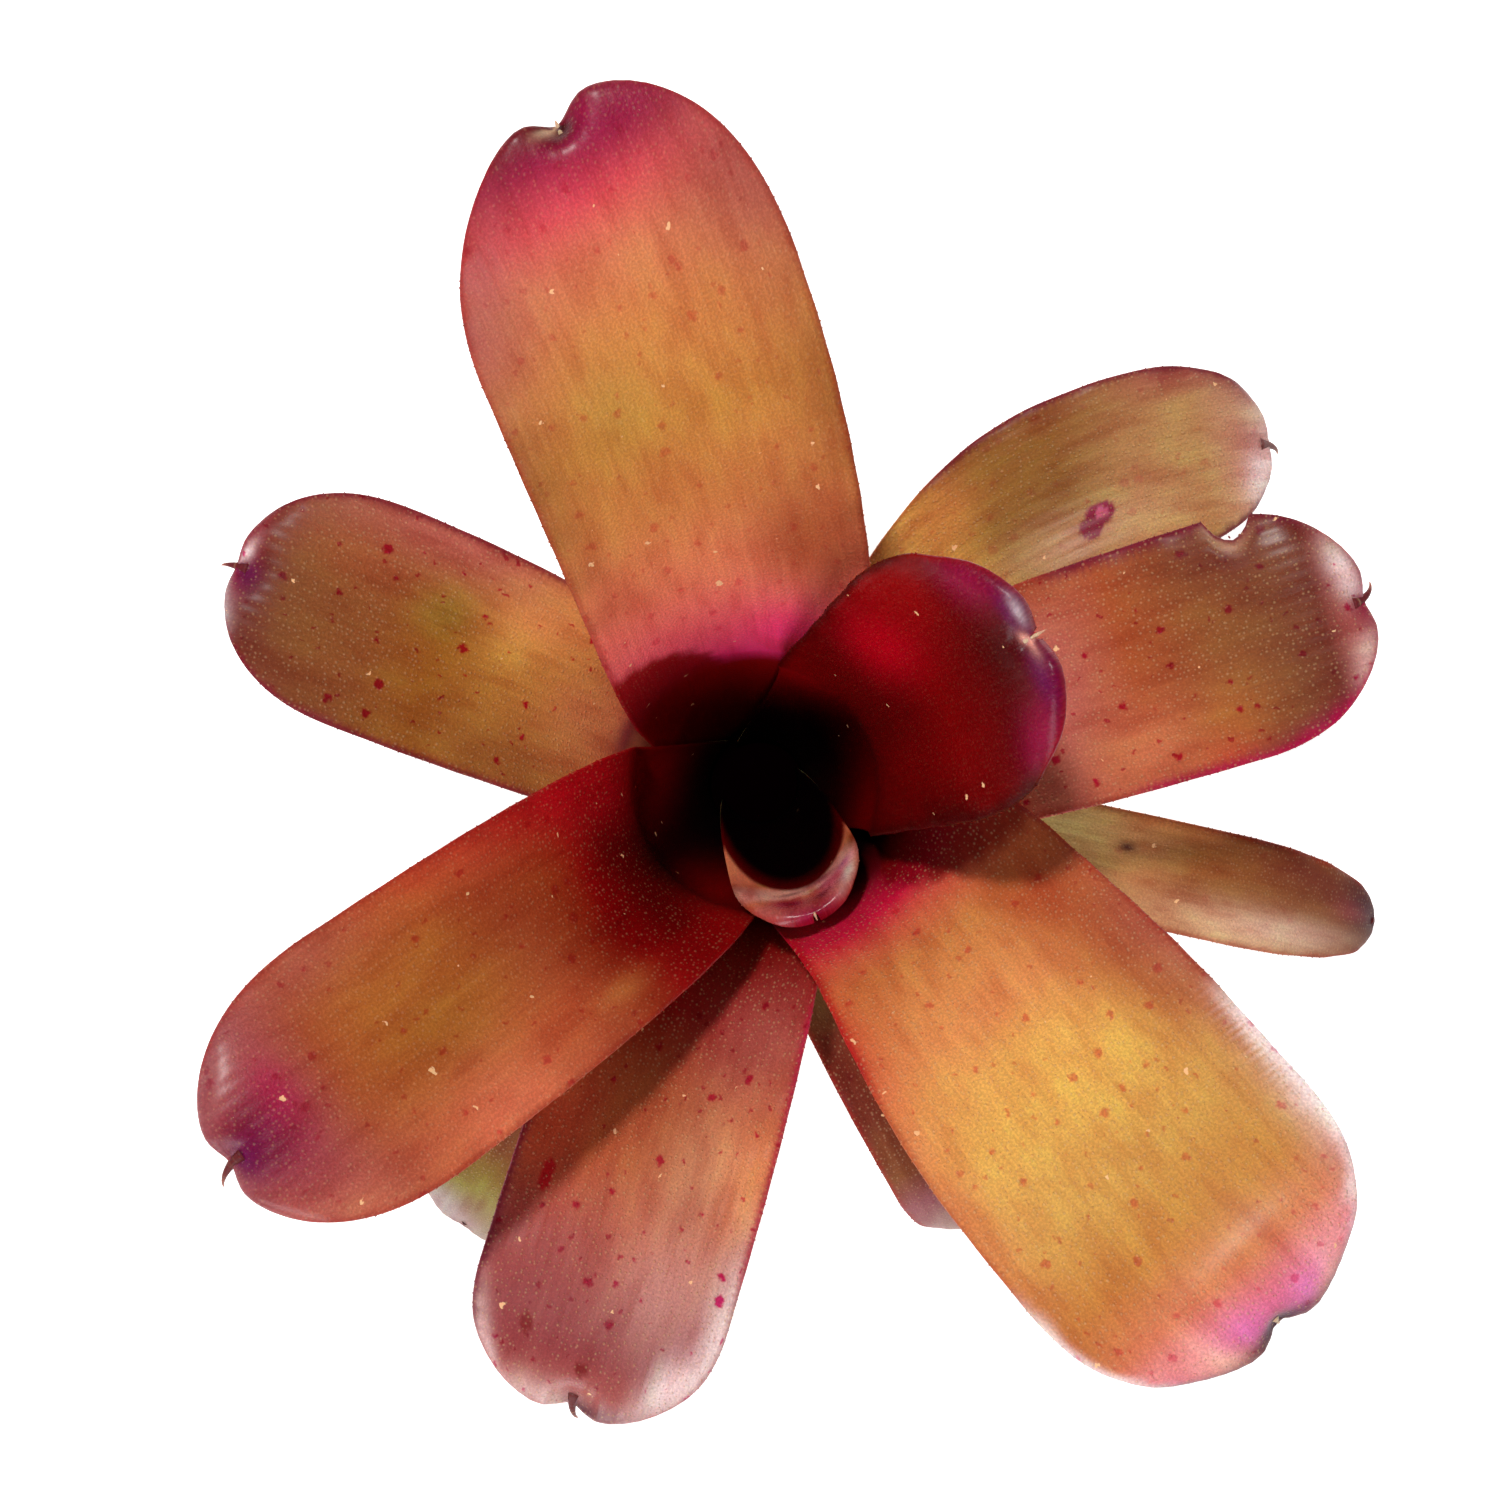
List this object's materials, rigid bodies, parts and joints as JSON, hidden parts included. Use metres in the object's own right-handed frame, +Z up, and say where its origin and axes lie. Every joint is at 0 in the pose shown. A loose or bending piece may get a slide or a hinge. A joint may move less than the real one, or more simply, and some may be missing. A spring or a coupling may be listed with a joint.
{
  "type": "neoregelia bromeliad",
  "caption": "Small bromeliad rosette of spine-tipped strap leaves, nested at their bases into an upright water-holding urn on a short stem with a flat cut underside.",
  "frame": {"origin": "middle of the stem's flat cut underside, on the axis of the urn, at the surface that the plant stands on", "axes": "+Z up along the urn's axis; the topmost strap leaf leans towards +Y and the notched side leaf points towards +X"},
  "size_m": [0.1514, 0.1506, 0.096],
  "materials": {
    "stem": "matt, fibrous, ringed with old leaf scars",
    "heart_leaf": "glossy, wine red with a pale magenta rolled rim",
    "inner_leaf": "satin, deep red with a purple rim",
    "upper_leaf": "satin, olive gold to salmon red, purple at the tip, red towards the urn",
    "middle_leaf": "satin with fine pale scurf, olive brown to salmon with maroon spots",
    "lower_leaf": "satin with fine pale scurf, olive tan with brown red margins"
  },
  "bodies": {
    "root": {"stem": "stem", "leaf_01_heart": "heart_leaf", "leaf_02_inner_right": "inner_leaf", "leaf_03_lower_left": "upper_leaf", "leaf_04_top": "upper_leaf", "leaf_05_lower_right": "upper_leaf", "leaf_06_upper_left": "middle_leaf", "leaf_07_bottom": "middle_leaf", "leaf_08_right": "middle_leaf", "leaf_09_upper_right": "lower_leaf", "leaf_10_low_left": "lower_leaf", "leaf_11_low_front": "lower_leaf", "leaf_12_low_right": "lower_leaf"}
  },
  "joints": []
}
